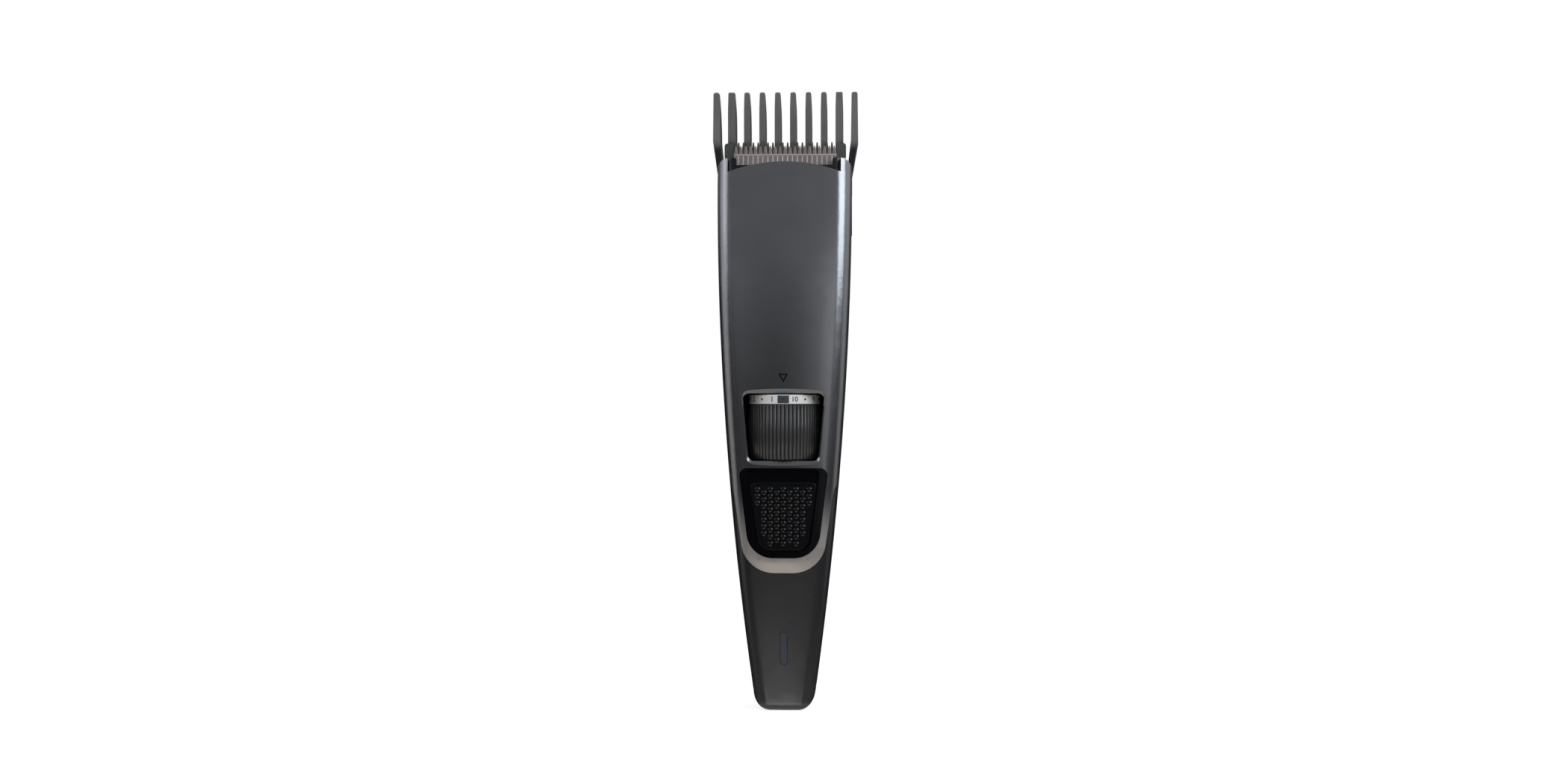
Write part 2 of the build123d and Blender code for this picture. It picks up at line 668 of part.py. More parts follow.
# ---- Comb carriage: the wheel lifts it, and it lifts the comb ----
with BuildPart() as comb_carriage:
    post(0, wheel_y, (groove_low - 2.4, groove_low + 6.0), drum_bore - 0.25)
    post(0, wheel_y, (groove_low - 3, groove_low + 7), core_radius + 0.1, Mode.SUBTRACT)
    # two uprights from the ring up past the motor
    upright = drum_bore - 1.0
    upright_depth = (wheel_y - 2, wheel_y + 2)
    twin_blocks((upright - 0.2, upright + 0.55), upright_depth, (groove_low + 3, wheel_top + 3.8))
    twin_blocks((upright, upright + 1.4), upright_depth, (wheel_top + 3.3, top - 26.5))
    # yoke, and the lugs that the comb's arms snap on to
    twin_blocks((upright, cheek_inner - 0.3), (min(-2.8, wheel_y - 0.8), 0.8), (top - 28.5, top - 26.1))
    twin_blocks((cheek_inner - 1.8, cheek_inner - 0.3), (-1.4, 0.8), (top - 28.5, top - 18.9))
    twin_blocks((cheek_inner - 1.8, arm_outer - 0.35), (-1.4, 0.8), (top - 21.5, top - 18.9))
    with Locations((upright + 0.1, wheel_y, groove_low)):
        Cylinder(pin_radius, 2.2, rotation=(0, 90, 0), mode=Mode.SUBTRACT)

with BuildPart() as cam_pin:
    pin_end = groove_radius - slide_gap
    with Locations(((upright - 0.35 + pin_end) / 2, wheel_y, groove_low)):
        Cylinder(pin_radius, pin_end - upright + 0.35, rotation=(0, 90, 0))

# ---- Head: frame, fixed blade, its screws and the blade spring ----
tooth_places = [(i - (blade_teeth - 1) / 2) * blade_pitch for i in range(blade_teeth)]

with BuildPart() as head_frame:
    frame_half = cheek_inner - 0.2
    block((-frame_half, frame_half), (-5.6, guard_front), (head_low, top - 3.9))
    block((-frame_half, frame_half), (-5.6, -0.6), (top - 4.0, top - 1.9))
    twin_blocks((frame_half - 2.4, frame_half), (-5.6, -0.6), (top - 2.0, top + 0.4))
    fillet(head_frame.edges().filter_by(Axis.Y).group_by(Axis.Z)[-1], 0.9)
    block((-frame_half + 2, frame_half - 2), (-5.0, 1.9), (top - 12.1, head_low))
    twin_blocks((9.0, 12.0), (-4.6, -3.4), (top - 17, top - 11.9))
    add(envelope(cover_front, wall + piece_gap, 2), mode=Mode.INTERSECT)
    # room for the drive bridge and the blade spring
    block((-5.0, 5.0), (-3.8, -1.2), (top - 16.5, top + 3.5), Mode.SUBTRACT)
    block((-5.0, 5.0), (-3.8, 0), (top - 3.9, top + 3.5), Mode.SUBTRACT)
    block((-9.3, 9.3), (-1.6, -0.6), (top - 5.3, top - 3.8), Mode.SUBTRACT)
    for x in (-9.4, 9.4):
        cross_pin(x, (-3.4, 1), top - 6.3, 0.8, Mode.SUBTRACT)

with BuildPart() as guard_blade:
    with BuildSketch(Plane.XZ.offset(-guard_front)):
        with BuildLine():
            Polyline(
                (-blade_half - 1.1, top - 7.3),
                (blade_half + 1.1, top - 7.3),
                (blade_half + 1.1, top + 0.3),
                (blade_half + 0.3, top + 3.1),
                (-blade_half - 0.3, top + 3.1),
                (-blade_half - 1.1, top + 0.3),
                close=True,
            )
        make_face()
        for x in tooth_places:
            with BuildLine():
                Polyline(
                    (x - 0.52, top + 3),
                    (x + 0.52, top + 3),
                    (x + 0.2, top + 5.6),
                    (x - 0.2, top + 5.6),
                    close=True,
                )
            make_face()
        for side in (-1, 1):
            with Locations((side * cheek_inner, top + 2.85)):
                RectangleRounded(2.9, 5.1, 1.0)
        with Locations((-9.4, top - 6.3), (9.4, top - 6.3)):
            Circle(0.85, mode=Mode.SUBTRACT)
    extrude(amount=-guard_thickness)

with BuildPart() as guard_screws:
    for x in (-9.4, 9.4):
        cross_pin(x, (-3.2, 1.6), top - 6.3, 0.8)
        cross_pin(x, (1.5, 1.95), top - 6.3, 1.3)
        cross_pin(x, (1.75, 2.2), top - 6.3, 0.45, Mode.SUBTRACT)

with BuildPart() as blade_spring:
    block((-9.0, 9.0), (-1.5, -0.75), (top - 5.1, top - 4.3))

# ---- Moving blade and the bridge that drives it ----
with BuildPart() as moving_cutter:
    with BuildSketch(Plane.XZ.offset(0.4)):
        with BuildLine():
            Polyline(
                (-blade_half + 1.2, top - 3.6),
                (blade_half - 1.2, top - 3.6),
                (blade_half + 0.5, top + 0.9),
                (blade_half + 0.5, top + 2),
                (-blade_half - 0.5, top + 2),
                (-blade_half - 0.5, top + 0.9),
                close=True,
            )
        make_face()
        for x in tooth_places + [tooth_places[-1] + blade_pitch]:
            middle = x - blade_pitch / 2
            with BuildLine():
                Polyline(
                    (middle - 0.5, top + 1.9),
                    (middle + 0.5, top + 1.9),
                    (middle + 0.2, top + 4.4),
                    (middle - 0.2, top + 4.4),
                    close=True,
                )
            make_face()
        with Locations((-2.0, top - 2.5), (2.0, top - 2.5)):
            Circle(0.6, mode=Mode.SUBTRACT)
    extrude(amount=-0.85)

with BuildPart() as drive_bridge:
    block((-3.5, 3.5), (-3.4, -1.8), (top - 26.9, top - 1.7))
    block((-3.2, 3.2), (-3.4, -0.4), (top - 3.7, top - 1.7))
    block((-4.4, 4.4), (-3.4, 1.9), (top - 26.9, top - 23.1))
    block((-2.75, 2.75), (-1.4, 3), (top - 28, top - 22), Mode.SUBTRACT)
    for x in (-2.0, 2.0):
        cross_pin(x, (-0.6, 0.3), top - 2.5, 0.6)

# ---- Guide comb ----
with BuildPart() as inner_tines:
    # front view of the tines, then the side view of one
    for i in range(1, tine_count - 1):
        x = (i - (tine_count - 1) / 2) * tine_pitch
        outer = i in (1, tine_count - 2)
        root_half = (wide_tine_width if outer else tine_width) / 2
        tip_half = root_half - (tine_width - tine_tip_width) / 2
        with BuildSketch(Plane.XZ.offset(5)) as tine_front:
            with BuildLine():
                Polyline(
                    (x - root_half, top - 10),
                    (x + root_half, top - 10),
                    (x + root_half, comb_height - 5),
                    (x + tip_half, comb_height),
                    (x - tip_half, comb_height),
                    (x - root_half, comb_height - 5),
                    close=True,
                )
            make_face()
            fillet(tine_front.vertices().group_by(Axis.Y)[-1], 0.35 if outer else 0.6)
        extrude(amount=-20)
    with BuildSketch(Plane.YZ.offset(-top_half_width - 4)):
        with BuildLine():
            tine_side()
        make_face()
    extrude(amount=2 * top_half_width + 8, mode=Mode.INTERSECT)

with BuildPart() as comb_arms:
    for side in (-1, 1):
        x = side * (tine_count - 1) / 2 * tine_pitch
        with BuildSketch(Plane.XZ.offset(5)):
            with BuildLine():
                Polyline(
                    (side * arm_inner, top - 16.5),
                    (side * arm_outer, top - 16.5),
                    (side * arm_outer, top - 4.5),
                    (x + side * 1.05, top + 6.3),
                    (x + side * 0.9, comb_height - 0.5),
                    (x + side * 0.5, comb_height),
                    (x - side * 0.5, comb_height),
                    (x - side * 0.95, comb_height - 0.5),
                    (x - side * 1.15, top + 6.3),
                    (side * arm_inner, top - 3.5),
                    close=True,
                )
            make_face()
        extrude(amount=-20)
    with BuildSketch(Plane.YZ.offset(-top_half_width - 4)):
        with BuildLine():
            tine_side()
        make_face()
        with BuildLine():
            Polyline(
                (-2.8, top - 16.5),
                (-2.8, top - 3.7),
                (2.1, top + 6.3),
                (7.0, top + 6.3),
                (7.0, top - 3.5),
                (2.2, top - 8.5),
                (2.2, top - 16.5),
                close=True,
            )
        make_face()
    extrude(amount=2 * top_half_width + 8, mode=Mode.INTERSECT)

with BuildPart() as guide_comb:
    add(inner_tines.part)
    add(comb_arms.part)
    # base band round the back, from arm to arm
    with BuildSketch(Plane.XY.offset(top - 10)) as band:
        with Locations((0, 8.0 - 15)):
            RectangleRounded(2 * arm_outer, 30, 5.0)
            RectangleRounded(2 * arm_inner, 30 - 2 * arm_thickness, 3.6, mode=Mode.SUBTRACT)
        with Locations((0, -2.8 - 20)):
            Rectangle(2 * top_half_width + 20, 40, mode=Mode.SUBTRACT)
    extrude(amount=6.5)
    # straight arms that run in the body's grooves, open at the bottom for the lugs
    twin_blocks((arm_inner, arm_outer), (-2.8, 2.2), (arm_low, top - 4.5))
    twin_blocks(
        (arm_inner - 1, arm_outer + 2),
        (-1.4 - slide_gap, 0.8 + slide_gap),
        (arm_low - 3, arm_low + 4.1),
        Mode.SUBTRACT,
    )

# ---- Hand in every piece ----
pieces = {
    "front_cover": front_cover,
    "rear_housing": rear_housing,
    "switch_bezel": switch_bezel,
    "slider_button": slider_button,
    "slider_retainer": slider_retainer,
    "switch_knob": switch_knob,
    "chassis": chassis,
    "housing_screws": housing_screws,
    "battery_cell": battery_cell,
    "battery_tabs": battery_tabs,
    "circuit_board": circuit_board,
    "slide_switch_body": slide_switch_body,
    "board_chips": board_chips,
    "charge_led": charge_led,
    "charge_lens": charge_lens,
    "inlet_board": inlet_board,
    "usb_socket": usb_socket,
    "inlet_leads": inlet_leads,
    "motor_can": motor_can,
    "motor_end_cap": motor_end_cap,
    "motor_bushing": motor_bushing,
    "motor_leads": motor_leads,
    "motor_shaft": motor_shaft,
    "eccentric_cam": eccentric_cam,
    "wheel_drum": wheel_drum,
    "wheel_scale_ring": wheel_scale_ring,
    "detent_spring": detent_spring,
    "comb_carriage": comb_carriage,
    "cam_pin": cam_pin,
    "head_frame": head_frame,
    "guard_blade": guard_blade,
    "guard_screws": guard_screws,
    "blade_spring": blade_spring,
    "moving_cutter": moving_cutter,
    "drive_bridge": drive_bridge,
    "guide_comb": guide_comb,
}
for name, piece in pieces.items():
    piece.part.label = name
    export_step(piece.part, f"parts/{name}.step")
    box = piece.part.bounding_box()
    corners = [round(v, 1) for v in (*box.min, *box.max)]
    print(name, len(piece.part.solids()), round(piece.part.volume), corners)
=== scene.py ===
# %% [markdown]
# # Body groomer, seen from its switch side
# The imported model gives every piece its true size and place. This lesson dresses it: each
# visible piece gets softened edges and a finish of its own, and the fine things that a solid
# model leaves out, such as the printed scale and the painted highlights of the ground lines on the blade,
# are added.

# %% Load the frame and keep its box
import math

import bmesh
import bpy
from mathutils import Matrix, Vector


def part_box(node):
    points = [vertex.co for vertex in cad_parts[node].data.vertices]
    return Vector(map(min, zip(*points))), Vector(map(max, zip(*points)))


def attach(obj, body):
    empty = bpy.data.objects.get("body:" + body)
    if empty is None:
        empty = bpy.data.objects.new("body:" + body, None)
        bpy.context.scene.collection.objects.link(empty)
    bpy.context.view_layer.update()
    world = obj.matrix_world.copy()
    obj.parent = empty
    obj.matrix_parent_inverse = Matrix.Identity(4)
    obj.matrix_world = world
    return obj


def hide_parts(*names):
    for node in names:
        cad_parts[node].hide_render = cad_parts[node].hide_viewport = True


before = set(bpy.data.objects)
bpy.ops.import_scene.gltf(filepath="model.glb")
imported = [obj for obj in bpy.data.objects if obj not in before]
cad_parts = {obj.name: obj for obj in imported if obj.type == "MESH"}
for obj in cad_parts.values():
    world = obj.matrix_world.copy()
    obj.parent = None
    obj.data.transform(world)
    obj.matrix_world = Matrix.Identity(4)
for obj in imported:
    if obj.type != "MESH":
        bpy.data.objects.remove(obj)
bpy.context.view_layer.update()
scene = bpy.context.scene
MM = 0.001

# %% [markdown]
# ## Camera
# The groomer stands upright and is seen from the front, from arm's length and about half way
# up. The camera stands a little to the right, so the comb's left teeth show their inner sides.

# %% Put the camera in front
VIEW_DISTANCE = 0.60
VIEW_WIDTH = 0.47775
VIEW_MIDDLE = Vector((-0.00034, 0.0, 0.0960))
VIEW_TURN = math.radians(2.5)

camera_data = bpy.data.cameras.new("front_camera")
camera_data.sensor_width = 36.0
camera_data.lens = 36.0 * VIEW_DISTANCE / VIEW_WIDTH
camera = bpy.data.objects.new("front_camera", camera_data)
scene.collection.objects.link(camera)
toward = Vector((math.sin(VIEW_TURN), -math.cos(VIEW_TURN), 0.0))
camera.location = VIEW_MIDDLE + toward * VIEW_DISTANCE
camera.rotation_euler = (-toward).to_track_quat("-Z", "Y").to_euler()
scene.camera = camera
print("lens mm:", round(camera_data.lens, 1))

# %% [markdown]
# ## Studio
# A dark satin body takes its whole look from what it mirrors, so the surroundings are built
# for their reflections. Round the body the room is dark at eye level and lighter above. The
# table further down is lit, which brightens the foot. The camera itself sees only white paper.

# %% Floor
FLOOR_HALF = 6.0

floor_mesh = bpy.data.meshes.new("studio_floor")
bm = bmesh.new()
bmesh.ops.create_grid(bm, x_segments=1, y_segments=1, size=FLOOR_HALF)
bmesh.ops.translate(bm, verts=bm.verts, vec=(0, 0, -0.00005))
bm.to_mesh(floor_mesh)
bm.free()
floor = bpy.data.objects.new("studio_floor", floor_mesh)
scene.collection.objects.link(floor)
paper = bpy.data.materials.new("studio_paper")
paper.use_nodes = True
paper_shader = paper.node_tree.nodes["Principled BSDF"]
paper_shader.inputs["Base Color"].default_value = (0.86, 0.86, 0.86, 1.0)
paper_shader.inputs["Roughness"].default_value = 0.9
paper_shader.inputs["Emission Color"].default_value = (1.0, 1.0, 1.0, 1.0)
paper_shader.inputs["Emission Strength"].default_value = 0.75
floor_mesh.materials.append(paper)
floor.visible_glossy = False
floor.visible_diffuse = False
print("floor laid")

# %% [markdown]
# The surroundings are a sum of soft patches over a brightness that changes with height. Each
# patch is a disc of light with a faded rim, placed by where it stands round the body.

# %% Surroundings that only reflections see
world = bpy.data.worlds.new("studio")
scene.world = world
world.use_nodes = True
sky = world.node_tree
sky.nodes.clear()
look = sky.nodes.new("ShaderNodeTexCoord")


def heading(azimuth, elevation):
    """A direction from the body. Azimuth 0 is straight in front and 90 is on the right."""
    turn, tilt = math.radians(azimuth), math.radians(elevation)
    return Vector((math.sin(turn) * math.cos(tilt), -math.cos(turn) * math.cos(tilt), math.sin(tilt)))


def patch(azimuth, elevation, full, faded, strength):
    """A disc of light: full strength inside the first angle, none outside the second."""
    towards = sky.nodes.new("ShaderNodeVectorMath")
    towards.operation = "DOT_PRODUCT"
    towards.inputs[1].default_value = heading(azimuth, elevation)
    sky.links.new(look.outputs["Generated"], towards.inputs[0])
    rim = sky.nodes.new("ShaderNodeMapRange")
    rim.interpolation_type = "SMOOTHSTEP"
    rim.inputs["From Min"].default_value = math.cos(math.radians(faded))
    rim.inputs["From Max"].default_value = math.cos(math.radians(full))
    rim.inputs["To Min"].default_value = 0.0
    rim.inputs["To Max"].default_value = strength
    sky.links.new(towards.outputs["Value"], rim.inputs["Value"])
    return rim.outputs["Result"]


def total(sockets):
    """The sum of several patches."""
    result = sockets[0]
    for socket in sockets[1:]:
        plus = sky.nodes.new("ShaderNodeMath")
        plus.operation = "ADD"
        sky.links.new(result, plus.inputs[0])
        sky.links.new(socket, plus.inputs[1])
        result = plus.outputs["Value"]
    return result


height = sky.nodes.new("ShaderNodeSeparateXYZ")
sky.links.new(look.outputs["Generated"], height.inputs["Vector"])
by_height = sky.nodes.new("ShaderNodeValToRGB")
by_height.color_ramp.interpolation = "EASE"
level_stops = (
    (0.0, 0.55), (0.12, 0.58), (0.17, 0.60), (0.25, 0.50), (0.31, 0.17), (0.355, 0.04),
    (0.45, 0.02), (0.495, 0.01), (0.52, 0.02), (0.555, 0.12), (0.60, 0.27), (0.71, 0.285),
    (0.82, 0.29), (1.0, 0.29),
)
stops = by_height.color_ramp.elements
stops[0].position, stops[0].color = 0.0, (*[level_stops[0][1]] * 3, 1)
stops[1].position, stops[1].color = 1.0, (*[level_stops[-1][1]] * 3, 1)
for spot, level in level_stops[1:-1]:
    stops.new(spot).color = (level, level, level, 1)
half_height = sky.nodes.new("ShaderNodeMapRange")
half_height.inputs["From Min"].default_value = -1.0
sky.links.new(height.outputs["Z"], half_height.inputs["Value"])
sky.links.new(half_height.outputs["Result"], by_height.inputs["Fac"])
glow = total([
    by_height.outputs["Color"],
    patch(-6, -35, 9, 19, 1.2),
    patch(14, 4, 2, 11, 0.85),
    patch(-15, 6, 1, 8, 0.22),
    patch(30, 8, 3, 16, 0.20),
    patch(-34, 8, 3, 14, 0.14),
    patch(-84, 12, 12, 32, 0.8),
    patch(104, 12, 10, 32, 0.6),
])

tint = sky.nodes.new("ShaderNodeValToRGB")
tint.color_ramp.elements[0].position, tint.color_ramp.elements[0].color = 0.40, (1.0, 0.93, 0.86, 1)
tint.color_ramp.elements[1].position, tint.color_ramp.elements[1].color = 0.54, (0.95, 0.97, 1.0, 1)
sky.links.new(half_height.outputs["Result"], tint.inputs["Fac"])
lit = sky.nodes.new("ShaderNodeBackground")
sky.links.new(glow, lit.inputs["Strength"])
sky.links.new(tint.outputs["Color"], lit.inputs["Color"])
plain = sky.nodes.new("ShaderNodeBackground")
plain.inputs["Color"].default_value = (1.0, 1.0, 1.0, 1.0)
rays = sky.nodes.new("ShaderNodeLightPath")
choose = sky.nodes.new("ShaderNodeMixShader")
sky.links.new(rays.outputs["Is Camera Ray"], choose.inputs["Fac"])
sky.links.new(lit.outputs["Background"], choose.inputs[1])
sky.links.new(plain.outputs["Background"], choose.inputs[2])
whole = sky.nodes.new("ShaderNodeOutputWorld")
sky.links.new(choose.outputs["Shader"], whole.inputs["Surface"])
scene.view_settings.view_transform = "Standard"
print("surroundings made")

# %% [markdown]
# A large soft box on the right draws the bright line down the right shoulder. It hangs high, so
# the line fades where the front face stands upright. A dimmer one on the left fills the rest.

# %% Soft boxes


def soft_box(name, azimuth, elevation, distance, size, power, colour):
    """A soft box that faces the body."""
    light = bpy.data.lights.new(name, "AREA")
    light.shape = "RECTANGLE"
    light.size, light.size_y = size
    light.energy = power
    light.color = colour
    lamp = bpy.data.objects.new(name, light)
    scene.collection.objects.link(lamp)
    lamp.location = VIEW_MIDDLE + heading(azimuth, elevation) * distance
    lamp.rotation_euler = (VIEW_MIDDLE - lamp.location).to_track_quat("-Z", "Y").to_euler()
    lamp.visible_camera = False
    return lamp


soft_box("right_box", 54, 25, 0.9, (0.64, 0.50), 4.2, (0.88, 0.94, 1.0))
soft_box("left_box", -66, 26, 0.9, (0.50, 0.45), 0.8, (0.90, 0.88, 1.0))

# %% [markdown]
# ## Finishes
# Every finish is the same small recipe: a base colour that drifts a little, a roughness that
# drifts with it, and a fine grain that lifts the surface. What changes is how large the grain
# is, how deep, and whether it is stretched, as grinding or brushing leaves it.

# %% The shared recipe for a finish
COAT_ROUGHNESS = 0.1
DRIFT_SCALE = 90.0


def make_finish(name, colour, rough, metal=0.0, grain=0.15, depth=0.01, drift=0.12, spread=0.06,
                stretch=(1, 1, 1), coat=0.0, shine=0.5):
    """A surface finish. grain is the size of its texture in mm and depth its height in mm."""
    finish = bpy.data.materials.new(name)
    finish.use_nodes = True
    tree = finish.node_tree
    shader = tree.nodes["Principled BSDF"]
    shader.inputs["Metallic"].default_value = metal
    shader.inputs["Coat Weight"].default_value = coat
    shader.inputs["Coat Roughness"].default_value = COAT_ROUGHNESS
    shader.inputs["Specular IOR Level"].default_value = shine
    where = tree.nodes.new("ShaderNodeTexCoord")
    stretched = tree.nodes.new("ShaderNodeMapping")
    stretched.inputs["Scale"].default_value = stretch
    tree.links.new(where.outputs["Object"], stretched.inputs["Vector"])

    fine = tree.nodes.new("ShaderNodeTexNoise")
    fine.inputs["Scale"].default_value = 1.0 / (grain * MM)
    fine.inputs["Detail"].default_value = 3.0
    tree.links.new(stretched.outputs["Vector"], fine.inputs["Vector"])
    lift = tree.nodes.new("ShaderNodeBump")
    lift.inputs["Strength"].default_value = 1.0
    lift.inputs["Distance"].default_value = depth * MM
    tree.links.new(fine.outputs["Fac"], lift.inputs["Height"])
    tree.links.new(lift.outputs["Normal"], shader.inputs["Normal"])

    broad = tree.nodes.new("ShaderNodeTexNoise")
    broad.inputs["Scale"].default_value = DRIFT_SCALE
    broad.inputs["Detail"].default_value = 4.0
    tree.links.new(where.outputs["Object"], broad.inputs["Vector"])
    tone = tree.nodes.new("ShaderNodeValToRGB")
    tone.color_ramp.elements[0].position = 0.3
    tone.color_ramp.elements[1].position = 0.7
    tone.color_ramp.elements[0].color = (*[c * (1 - drift) for c in colour], 1.0)
    tone.color_ramp.elements[1].color = (*[min(1.0, c * (1 + drift)) for c in colour], 1.0)
    tree.links.new(broad.outputs["Fac"], tone.inputs["Fac"])
    tree.links.new(tone.outputs["Color"], shader.inputs["Base Color"])
    dull = tree.nodes.new("ShaderNodeMapRange")
    dull.inputs["From Min"].default_value = 0.3
    dull.inputs["From Max"].default_value = 0.7
    dull.inputs["To Min"].default_value = max(0.02, rough - spread)
    dull.inputs["To Max"].default_value = rough + spread
    tree.links.new(fine.outputs["Fac"], dull.inputs["Value"])
    tree.links.new(dull.outputs["Result"], shader.inputs["Roughness"])
    return finish

print("shared recipe ready")

# %% A finish that turns into another one further down


def change_below(finish, low, high, colour, rough, metal, front=None):
    """Turn a finish into another one below a height in mm, fading between low and high.

    With front, a pair of Y values in mm, it is only changed in front of them.
    """
    tree = finish.node_tree
    shader = tree.nodes["Principled BSDF"]
    where = tree.nodes.new("ShaderNodeTexCoord")
    apart = tree.nodes.new("ShaderNodeSeparateXYZ")
    tree.links.new(where.outputs["Object"], apart.inputs["Vector"])
    share = tree.nodes.new("ShaderNodeMapRange")
    share.interpolation_type = "SMOOTHSTEP"
    share.inputs["From Min"].default_value = low * MM
    share.inputs["From Max"].default_value = high * MM
    tree.links.new(apart.outputs["Z"], share.inputs["Value"])
    own_share = share.outputs["Result"]
    if front:
        behind = tree.nodes.new("ShaderNodeMapRange")
        behind.interpolation_type = "SMOOTHSTEP"
        behind.inputs["From Min"].default_value = front[0] * MM
        behind.inputs["From Max"].default_value = front[1] * MM
        tree.links.new(apart.outputs["Y"], behind.inputs["Value"])
        either = tree.nodes.new("ShaderNodeMath")
        either.operation = "MAXIMUM"
        tree.links.new(own_share, either.inputs[0])
        tree.links.new(behind.outputs["Result"], either.inputs[1])
        own_share = either.outputs["Value"]
    own_metal = shader.inputs["Metallic"].default_value
    for socket_name, kind, other in (("Base Color", "RGBA", (*colour, 1.0)), ("Roughness", "FLOAT", rough),
                                     ("Metallic", "FLOAT", metal)):
        blend = tree.nodes.new("ShaderNodeMix")
        blend.data_type = kind
        ends = [i for i in blend.inputs if i.enabled and i.name in ("A", "B")]
        socket = shader.inputs[socket_name]
        tree.links.new(own_share, blend.inputs["Factor"])
        ends[0].default_value = other
        if socket.is_linked:
            tree.links.new(socket.links[0].from_socket, ends[1])
        else:
            ends[1].default_value = own_metal
        tree.links.new([o for o in blend.outputs if o.enabled][0], socket)


print("recipes ready")

# %% [markdown]
# The front cover is a satin metallic coat, dark grey with very fine flakes; its lower band is painted
# lighter and duller, a painted reflection of the lit table below. The rear housing is charcoal with a fine
# spark-eroded texture, a little darker. The comb is grey, and its arms are painted near black, painted
# shade and a painted reflection of the dark room. Both painted changes of tone follow the height on the
# piece, so they stay in place when the piece moves.

# %% Finishes of the shells
metallic_coat_with_painted_reflection = make_finish("metallic_coat_with_painted_reflection", (0.245, 0.248, 0.262), 0.24, metal=0.94,
                            grain=0.09, depth=0.0006, drift=0.05, spread=0.03)
charcoal_shell = make_finish("charcoal_shell", (0.095, 0.098, 0.108), 0.30, metal=0.92,
                             grain=0.16, depth=0.0012, drift=0.06, spread=0.04)
bezel_black = make_finish("bezel_black", (0.0012, 0.0015, 0.003), 0.22, grain=0.3, depth=0.002,
                          drift=0.1, spread=0.04, shine=0.3)
pad_rubber = make_finish("pad_rubber", (0.0015, 0.002, 0.0035), 0.30, grain=0.12, depth=0.003,
                         drift=0.15, spread=0.08, shine=0.3)
bump_rubber = make_finish("bump_rubber", (0.0015, 0.002, 0.0035), 0.17, grain=0.2, depth=0.001,
                          drift=0.15, spread=0.04, shine=0.4)
grip_black = make_finish("grip_black", (0.065, 0.064, 0.066), 0.24, grain=0.14, depth=0.003,
                         drift=0.15, spread=0.06)
comb_plastic_with_painted_shade = make_finish("comb_plastic_with_painted_shade", (0.255, 0.245, 0.243), 0.36, metal=0.5,
                           grain=0.22, depth=0.004, drift=0.10, spread=0.06)
frame_black = make_finish("frame_black", (0.004, 0.004, 0.006), 0.30, grain=0.2, depth=0.003,
                          drift=0.1, spread=0.05)
# Painted reflection: below 50 to 68 mm the cover turns lighter and duller, standing in for the lit table
# that its lower band mirrors.
change_below(metallic_coat_with_painted_reflection, 50.0, 68.0, (0.42, 0.40, 0.38), 0.42, 0.6)
# Painted shade: below 169.6 to 173.4 mm, and in front of y 2.4 to 5.5 mm, the comb turns near black,
# standing in for shade and the dark room its lower front mirrors.
change_below(comb_plastic_with_painted_shade, 169.6, 173.4, (0.008, 0.008, 0.012), 0.30, 0.0, front=(2.4, 5.5))
print("shell finishes made")

# %% Finishes of the blade and the scale ring
ground_dark = make_finish("ground_dark", (0.20, 0.205, 0.20), 0.36, metal=0.95, grain=0.10,
                          depth=0.004, drift=0.12, spread=0.10, stretch=(1, 1, 0.12))
ground_warm = make_finish("ground_warm", (0.56, 0.475, 0.455), 0.34, metal=0.95, grain=0.08,
                          depth=0.003, drift=0.12, spread=0.10, stretch=(1, 1, 0.08))
# Painted highlight: near white and hardly metallic, so that the lands read as the bright lines of light on
# the blade's ground faces.
painted_highlight_white = make_finish("painted_highlight_white", (0.95, 0.86, 0.82), 0.34, metal=0.15, grain=0.08,
                            depth=0.002, drift=0.08, spread=0.08, stretch=(1, 1, 0.1))
ring_silver = make_finish("ring_silver", (0.96, 0.95, 0.93), 0.25, metal=0.0, grain=0.10,
                          depth=0.001, drift=0.05, spread=0.06, stretch=(1, 1, 6))
print_black = make_finish("print_black", (0.03, 0.03, 0.032), 0.40, grain=0.1, depth=0.002,
                          coat=1.0)
# Painted shade: the near-black finish of the arrow's groove.
arrow_black = make_finish("arrow_black", (0.002, 0.002, 0.003), 0.5, grain=0.1, depth=0.002,
                          shine=0.15)
marker_grey = make_finish("marker_grey", (0.055, 0.072, 0.082), 0.38, grain=0.1, depth=0.002)
lens_smoke = make_finish("lens_smoke", (0.060, 0.070, 0.092), 0.16, grain=0.4, depth=0.001)
print("blade and ring finishes made")

# %% [markdown]
# Inside pieces hardly show, but a part that is opened or posed should look right too.

# %% Finishes of the inside pieces
steel = make_finish("steel", (0.55, 0.55, 0.56), 0.32, metal=1.0, grain=0.12, depth=0.003,
                    stretch=(1, 1, 0.2))
natural_resin = make_finish("natural_resin", (0.72, 0.71, 0.66), 0.45, grain=0.25, depth=0.004)
inner_black = make_finish("inner_black", (0.020, 0.020, 0.022), 0.5, grain=0.2, depth=0.006)
cell_wrap = make_finish("cell_wrap", (0.03, 0.12, 0.32), 0.25, grain=0.8, depth=0.003)
board_mask = make_finish("board_mask", (0.015, 0.12, 0.05), 0.3, grain=0.4, depth=0.003)
chip_resin = make_finish("chip_resin", (0.02, 0.02, 0.022), 0.55, grain=0.08, depth=0.004)
lead_red = make_finish("lead_red", (0.45, 0.03, 0.02), 0.45, grain=0.3, depth=0.003)
sintered = make_finish("sintered", (0.60, 0.42, 0.16), 0.45, metal=1.0, grain=0.08, depth=0.004)

